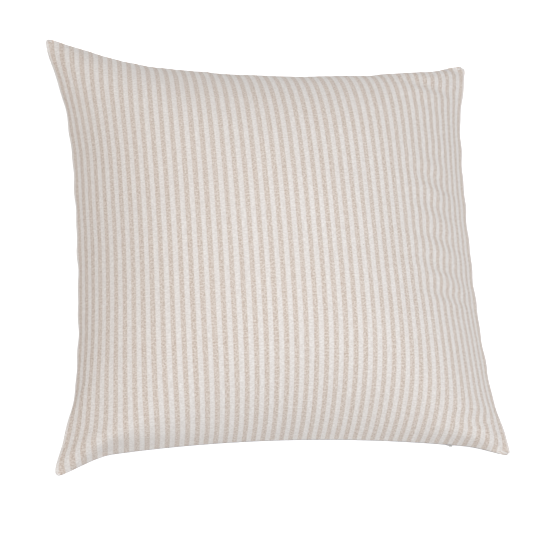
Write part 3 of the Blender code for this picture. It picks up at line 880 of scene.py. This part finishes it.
def plain_cotton(name, low, high, threads):
    material, tree, shader = new_material(name)
    cloth_shader(shader, 0.92, 0.2)
    place = cut_place(tree)
    weave = use(tree, WEAVE, Place=place, Threads=threads, Uneven=0.45)
    fleck = use(tree, FLECKS, Place=place)
    tone = maths(tree, "MULTIPLY_ADD", weave["Yarn"], 0.5, maths(tree, "MULTIPLY", fleck["Weft"], 0.5))
    feed(tree, shader.inputs["Base Color"], mixed(tree, tone, low, high))
    bumped(tree, shader, weave["Height"], 0.5, 0.0002)
    return material


def along_zipper(tree):
    """Object place turned into distance along the zipper, distance across it, and height."""
    parts = add(tree, "ShaderNodeSeparateXYZ")
    feed(tree, parts.inputs[0], object_place(tree))
    out = maths(tree, "SUBTRACT", parts.outputs[1], ZIP_CENTRE_Y)
    angle = maths(tree, "ARCTAN2", parts.outputs[0], out)
    square = maths(tree, "MULTIPLY", parts.outputs[0], parts.outputs[0])
    square = maths(tree, "MULTIPLY_ADD", out, out, square)
    place = add(tree, "ShaderNodeCombineXYZ")
    feed(tree, place.inputs[0], maths(tree, "MULTIPLY", angle, SIDE_RADIUS))
    feed(tree, place.inputs[1], maths(tree, "SQRT", square))
    feed(tree, place.inputs[2], parts.outputs[2])
    return place.outputs[0]


def zipper_tape():
    material, tree, shader = new_material("zipper_tape_weave")
    cloth_shader(shader, 0.85, 0.1)
    place = along_zipper(tree)
    weave = use(tree, WEAVE, Place=place, Threads=2600.0, Uneven=0.2)
    # Painted shade: the weave's height darkens the colour in the hollows between threads, on top of each
    # yarn's own uneven tone.
    tone = maths(tree, "MULTIPLY_ADD", weave["Yarn"], 0.3, maths(tree, "MULTIPLY", weave["Height"], 0.6))
    feed(tree, shader.inputs["Base Color"], mixed(tree, tone, (0.66, 0.64, 0.61, 1), (0.84, 0.82, 0.79, 1)))
    bumped(tree, shader, weave["Height"], 0.6, 0.0002)
    return material


COIL_PITCH = 0.0013


def zipper_coil():
    """Moulded nylon, ribbed at every turn of the coil, with shade painted between the turns."""
    material, tree, shader = new_material("zipper_coil_nylon")
    place = along_zipper(tree)
    parts = add(tree, "ShaderNodeSeparateXYZ")
    feed(tree, parts.inputs[0], place)
    slant = maths(tree, "MULTIPLY_ADD", parts.outputs[1], 0.6, parts.outputs[0])
    turn = maths(tree, "SINE", maths(tree, "MULTIPLY", slant, 2 * math.pi / COIL_PITCH))
    rib_and_gap_shade = between(tree, turn, -0.8, 0.9)
    cloudy = noise(tree, place, 600.0, 2.0)
    # Painted shade: the nylon is one colour, and the darker tone between the coil's turns stands in for shade
    # in the gaps.
    colour = mixed(tree, rib_and_gap_shade, (0.52, 0.50, 0.47, 1), (0.86, 0.84, 0.80, 1))
    colour = mixed(tree, maths(tree, "MULTIPLY", cloudy, 0.2), colour, (0.9, 0.9, 0.88, 1))
    feed(tree, shader.inputs["Base Color"], colour)
    shader.inputs["Roughness"].default_value = 0.32
    bumped(tree, shader, rib_and_gap_shade, 0.9, 0.0003)
    return material


def sewing_thread(name):
    """Two-ply spun thread: fine slanting plies with shade painted between them, and a little fluff."""
    material, tree, shader = new_material(name)
    cloth_shader(shader, 0.75, 0.3)
    place = object_place(tree)
    ply = add(tree, "ShaderNodeTexWave", wave_type="BANDS", bands_direction="DIAGONAL")
    feed(tree, ply.inputs["Vector"], place)
    ply.inputs["Scale"].default_value = 900.0
    ply.inputs["Distortion"].default_value = 1.5
    fluff = noise(tree, place, 2500.0, 3.0)
    # Painted shade: the ply bands darken the colour in the grooves between plies; the fluff is the thread's
    # own uneven tone.
    tone = maths(tree, "MULTIPLY_ADD", ply.outputs["Fac"], 0.6, maths(tree, "MULTIPLY", fluff, 0.4))
    feed(tree, shader.inputs["Base Color"], mixed(tree, tone, (0.62, 0.58, 0.53, 1), (0.88, 0.85, 0.80, 1)))
    bumped(tree, shader, tone, 0.7, 0.0001)
    return material


def label_satin():
    """Close satin ribbon, blank, with a fine float every few threads."""
    material, tree, shader = new_material("label_satin_ribbon")
    cloth_shader(shader, 0.38, 0.15)
    place = object_place(tree)
    weave = use(tree, WEAVE, Place=place, Threads=4200.0, Uneven=0.2)
    # Painted sheen: streaks of light along the satin, put into its colour as well as its bump.
    sheen = noise(tree, stretched(tree, place, (90, 2400, 600)), 1.0, 2.0)
    tone = maths(tree, "MULTIPLY_ADD", sheen, 0.7, maths(tree, "MULTIPLY", weave["Yarn"], 0.3))
    feed(tree, shader.inputs["Base Color"], mixed(tree, tone, (0.78, 0.77, 0.75, 1), (0.93, 0.93, 0.92, 1)))
    bumped(tree, shader, sheen, 0.3, 0.0001)
    return material


def fibre_batting():
    """Crimped polyester fibre: bright, tangled and very matt."""
    material, tree, shader = new_material("fibre_batting")
    cloth_shader(shader, 1.0, 0.4)
    place = object_place(tree)
    warp = noise(tree, place, 30.0, 3.0)
    bent = add(tree, "ShaderNodeVectorMath", operation="MULTIPLY_ADD")
    curls = add(tree, "ShaderNodeTexNoise")
    feed(tree, curls.inputs["Vector"], place)
    curls.inputs["Scale"].default_value = 60.0
    feed(tree, bent.inputs[0], curls.outputs["Color"])
    bent.inputs[1].default_value = (0.01, 0.01, 0.01)
    feed(tree, bent.inputs[2], place)
    strand = noise(tree, stretched(tree, bent.outputs[0], (240, 1500, 700)), 1.0, 4.0, 0.7)
    # Painted shade: the strands' relief darkens the colour between them; the larger patches are the batting's
    # own uneven tone.
    tone = maths(tree, "MULTIPLY_ADD", strand, 0.7, maths(tree, "MULTIPLY", warp, 0.3))
    feed(tree, shader.inputs["Base Color"], mixed(tree, tone, (0.72, 0.73, 0.74, 1), (0.96, 0.96, 0.96, 1)))
    bumped(tree, shader, strand, 0.8, 0.001)
    return material


def zipper_metal():
    """Cast zinc with a worn satin nickel finish."""
    material, tree, shader = new_material("zipper_cast_metal")
    place = object_place(tree)
    grain = noise(tree, stretched(tree, place, (3000, 900, 900)), 1.0, 3.0)
    worn = between(tree, noise(tree, place, 420.0, 4.0), 0.45, 0.7)
    feed(tree, shader.inputs["Base Color"], mixed(tree, worn, (0.60, 0.59, 0.57, 1), (0.78, 0.77, 0.75, 1)))
    feed(tree, shader.inputs["Roughness"], between(tree, grain, 0.2, 0.8, 0.24, 0.46))
    shader.inputs["Metallic"].default_value = 1.0
    bumped(tree, shader, grain, 0.15, 0.00005)
    return material


def finish_small_parts():
    """Give the carried-over solids their finishes."""
    finishes = {
        "zipper_tape": zipper_tape(),
        "zipper_coil": zipper_coil(),
        "thread": sewing_thread("sewing_thread"),
        "label": label_satin(),
        "metal": zipper_metal(),
    }
    groups = {
        "zipper_tape": ("zipper_tape_front", "zipper_tape_back"),
        "zipper_coil": ("zipper_coil_front", "zipper_coil_back"),
        "thread": ("insert_seam_thread", "insert_closing_thread", "zipper_thread_front",
                   "zipper_thread_back", "bar_tack_left", "bar_tack_right"),
        "label": ("care_label", "insert_label"),
        "metal": ("zipper_slider", "zipper_pull_tab", "zipper_top_stop_front",
                  "zipper_top_stop_back", "zipper_bottom_stop"),
    }
    for finish, names in groups.items():
        for name in names:
            node = frame["nodes"][name]
            node.data.materials.clear()
            node.data.materials.append(finishes[finish])


# Stage

FLOOR_GLOW = 0.8                            # lights the floor up to white, and nothing else
WORLD_LIGHT = 0.49
LIGHT_AIM = (0, 0, 0.05)


def plain_floor():
    """A white floor, seen from above only."""
    bpy.ops.object.select_all(action="DESELECT")
    bpy.ops.mesh.primitive_plane_add(size=12.0, location=(0, 0, -0.0002))
    floor = bpy.context.object
    floor.name = "floor"
    material, tree, shader = new_material("pale_floor")
    shader.inputs["Base Color"].default_value = (0.9, 0.9, 0.9, 1)
    shader.inputs["Roughness"].default_value = 1.0
    shader.inputs["Specular IOR Level"].default_value = 0.0
    shader.inputs["Emission Color"].default_value = (1, 1, 1, 1)
    seen = add(tree, "ShaderNodeLightPath").outputs["Is Camera Ray"]
    feed(tree, shader.inputs["Emission Strength"], maths(tree, "MULTIPLY", seen, FLOOR_GLOW))
    clear = add(tree, "ShaderNodeBsdfTransparent")
    mix = add(tree, "ShaderNodeMixShader")
    feed(tree, mix.inputs[0], add(tree, "ShaderNodeNewGeometry").outputs["Backfacing"])
    feed(tree, mix.inputs[1], shader.outputs[0])
    feed(tree, mix.inputs[2], clear.outputs[0])
    feed(tree, tree.nodes["Material Output"].inputs["Surface"], mix.outputs[0])
    floor.data.materials.append(material)


def soft_light(name, place, size, power, colour):
    """A round soft light that points at the pillow."""
    bpy.ops.object.light_add(type="AREA", location=place)
    light = bpy.context.object
    light.name = name
    light.data.shape = "DISK"
    light.data.size = size
    light.data.energy = power
    light.data.color = colour
    light.rotation_euler = (Vector(LIGHT_AIM) - Vector(place)).to_track_quat("-Z", "Y").to_euler()


def studio():
    """World and lights."""
    world = bpy.data.worlds.new("white room")
    bpy.context.scene.world = world
    world.use_nodes = True
    world.node_tree.nodes["Background"].inputs[0].default_value = (1, 0.985, 0.985, 1)
    world.node_tree.nodes["Background"].inputs[1].default_value = WORLD_LIGHT
    soft_light("key", (0.20, -0.40, 1.9), 1.1, 20.0, (0.94, 0.97, 1.0))
    soft_light("fill", (-1.9, 0.3, 1.5), 1.2, 4.5, (1.0, 0.84, 0.68))
    bpy.context.scene.view_settings.view_transform = "Standard"


CAMERA_DISTANCE = 1.8
CAMERA_TILT = math.radians(19.0)            # from straight above, towards the zipper
CAMERA_SIDE = math.radians(11.5)            # towards the left side
CAMERA_ROLL = math.radians(-4.0)
CAMERA_LENS = 110.5
AIM_DROP = 0.0255                           # the pillow sits above the middle of the view
AIM_LEFT = 0.0027


def camera():
    """The view, from above the zipper side and a little to the left."""
    towards = Vector((-math.sin(CAMERA_SIDE) * math.cos(CAMERA_TILT), -math.sin(CAMERA_TILT),
                      math.cos(CAMERA_SIDE) * math.cos(CAMERA_TILT)))
    right = Vector((0, 1, 0)).cross(towards).normalized()
    up = towards.cross(right)
    turned_right = right * math.cos(CAMERA_ROLL) + up * math.sin(CAMERA_ROLL)
    turned_up = up * math.cos(CAMERA_ROLL) - right * math.sin(CAMERA_ROLL)
    aim = Vector((0, 0, SEAM_Z)) - turned_up * AIM_DROP - turned_right * AIM_LEFT
    bpy.ops.object.camera_add(location=aim + towards * CAMERA_DISTANCE)
    view = bpy.context.object
    view.name = "camera"
    axes = np.array([turned_right, turned_up, towards]).T
    view.rotation_euler = Matrix(axes.tolist()).to_euler()
    view.data.lens = CAMERA_LENS
    view.data.sensor_width = 36.0
    view.data.clip_end = 50
    bpy.context.scene.camera = view


camera()
studio()
plain_floor()

front_grid, back_grid = shaped_cover()
front_cover = panel("front_cover", front_grid, 1)
back_cover = panel("back_cover", back_grid, -1)
finished(front_cover, "striped_cotton", striped_cotton(), "front_panel", fill=0.85)
back_cloth = plain_cotton("plain_back_cloth", (0.76, 0.76, 0.77, 1), (0.86, 0.86, 0.87, 1), 1900.0)
finished(back_cover, "plain_cotton", back_cloth, "back_panel", fill=0.85)

front_shadow = surface_finder(front_cover)
back_shadow = surface_finder(back_cover)
stitches = seam_stitches()
finished(stitches, "thread", sewing_thread("seam_sewing_thread"), "cover_seam_thread")
casing_cloth = plain_cotton("casing_cloth", (0.80, 0.79, 0.77, 1), (0.88, 0.87, 0.85, 1), 1500.0)
for side, word, shadow in ((1, "front", front_shadow), (-1, "back", back_shadow)):
    casing = casing_panel("insert_casing_" + word, shadow, side)
    finished(casing, "insert_cloth", casing_cloth, "insert_shell_" + word, fill=0.85)
filling = fibre_filling(front_shadow, back_shadow)
finished(filling, "fibre", fibre_batting(), "fibre_fill", fill=0.85)
finish_small_parts()
